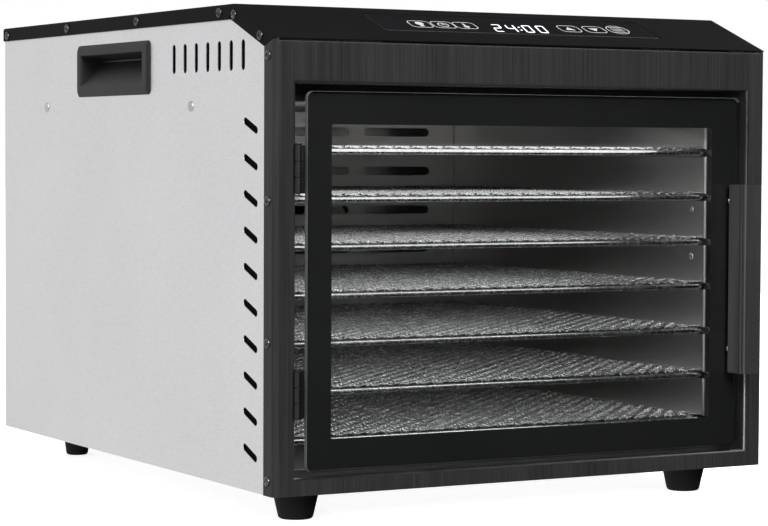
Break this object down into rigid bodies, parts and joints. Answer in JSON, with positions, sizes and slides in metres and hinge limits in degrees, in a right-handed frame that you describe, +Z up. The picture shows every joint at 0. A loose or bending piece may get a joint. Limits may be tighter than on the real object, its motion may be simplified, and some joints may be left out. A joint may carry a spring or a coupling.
{
  "type": "food dehydrator",
  "caption": "Countertop food dehydrator: steel cabinet with a hinged glass door, sliding wire trays, a rear fan and heater, and a sloped touch panel.",
  "frame": {"origin": "centre of the whole box, door handle included, on the plane the feet stand on", "axes": "+X to the right seen from the front, +Y to the back, so the front faces -Y, +Z up"},
  "size_m": [0.3418, 0.441, 0.2968],
  "materials": {
    "black_paint": "satin black powder coat",
    "black_brushed_steel": "black brushed steel, grain upright",
    "brushed_steel": "fine brushed stainless steel",
    "liner_steel": "mill finish stainless steel",
    "wire_steel": "bright polished stainless wire",
    "black_plastic": "fine moulded texture",
    "black_rubber": "matte rubber",
    "black_anodised": "black anodised, fine grain along its length",
    "clear_glass": "clear tempered glass with a black printed border",
    "black_glass": "black backed touch glass with lit icons",
    "white_plastic": "smooth",
    "circuit_board": "solder mask",
    "copper_winding": "enamelled winding wire"
  },
  "bodies": {
    "root": {"top_cover": "black_paint", "front_frame": "black_brushed_steel", "left_side_panel": "brushed_steel", "right_side_panel": "brushed_steel", "rear_panel": "brushed_steel", "bottom_plate": "brushed_steel", "left_grip_cup": "black_plastic", "right_grip_cup": "black_plastic", "foot_front_left": "black_rubber", "foot_rear_left": "black_rubber", "foot_front_right": "black_rubber", "foot_rear_right": "black_rubber", "right_liner_wall": "liner_steel", "left_liner_wall": "liner_steel", "liner_ceiling": "liner_steel", "liner_floor": "liner_steel", "air_baffle": "liner_steel", "rear_liner_wall": "liner_steel", "touch_panel": "black_glass", "display_module": "white_plastic", "control_board": "circuit_board", "power_board": "circuit_board", "power_inlet": "black_plastic", "chamber_lamp": "white_plastic", "heater_element": "liner_steel", "heater_bracket_left": "liner_steel", "heater_bracket_right": "liner_steel", "thermal_cutout": "black_plastic", "temperature_probe": "liner_steel", "fan_motor_stator": "liner_steel", "motor_coil": "copper_winding", "motor_bracket": "liner_steel", "frame_hinge_lower": "black_paint", "frame_hinge_upper": "black_paint", "hinge_pin_lower": "wire_steel", "hinge_pin_upper": "wire_steel", "door_catch": "black_plastic"},
    "door": {"door_glass": "clear_glass", "door_hinge_lower": "black_paint", "door_hinge_upper": "black_paint", "door_handle": "black_anodised", "handle_spacer_upper": "wire_steel", "handle_spacer_lower": "wire_steel", "door_strike_plate": "wire_steel"},
    "fan": {"fan_impeller": "liner_steel", "motor_shaft": "liner_steel"},
    "tray_1": {"tray_rim_1": "wire_steel", "tray_mesh_1": "wire_steel"},
    "tray_2": {"tray_rim_2": "wire_steel", "tray_mesh_2": "wire_steel"},
    "tray_3": {"tray_rim_3": "wire_steel", "tray_mesh_3": "wire_steel"},
    "tray_4": {"tray_rim_4": "wire_steel", "tray_mesh_4": "wire_steel"},
    "tray_5": {"tray_rim_5": "wire_steel", "tray_mesh_5": "wire_steel"},
    "tray_6": {"tray_rim_6": "wire_steel", "tray_mesh_6": "wire_steel"},
    "tray_7": {"tray_rim_7": "wire_steel", "tray_mesh_7": "wire_steel"}
  },
  "joints": [
    {"name": "door_swing", "type": "hinge", "parent": "root", "child": "door", "pos_m": [-0.1555, -0.2039, 0.1387], "axis": [0, 0, -1], "range_deg": [0, 170]},
    {"name": "fan_spin", "type": "hinge", "parent": "root", "child": "fan", "pos_m": [0, 0.1721, 0.134], "axis": [0, 1, 0], "continuous": true},
    {"name": "tray_slide_1", "type": "slide", "parent": "root", "child": "tray_1", "axis": [0, -1, 0], "range_m": [0, 0.025]},
    {"name": "tray_slide_2", "type": "slide", "parent": "root", "child": "tray_2", "axis": [0, -1, 0], "range_m": [0, 0.025]},
    {"name": "tray_slide_3", "type": "slide", "parent": "root", "child": "tray_3", "axis": [0, -1, 0], "range_m": [0, 0.025]},
    {"name": "tray_slide_4", "type": "slide", "parent": "root", "child": "tray_4", "axis": [0, -1, 0], "range_m": [0, 0.025]},
    {"name": "tray_slide_5", "type": "slide", "parent": "root", "child": "tray_5", "axis": [0, -1, 0], "range_m": [0, 0.025]},
    {"name": "tray_slide_6", "type": "slide", "parent": "root", "child": "tray_6", "axis": [0, -1, 0], "range_m": [0, 0.025]},
    {"name": "tray_slide_7", "type": "slide", "parent": "root", "child": "tray_7", "axis": [0, -1, 0], "range_m": [0, 0.025]}
  ]
}
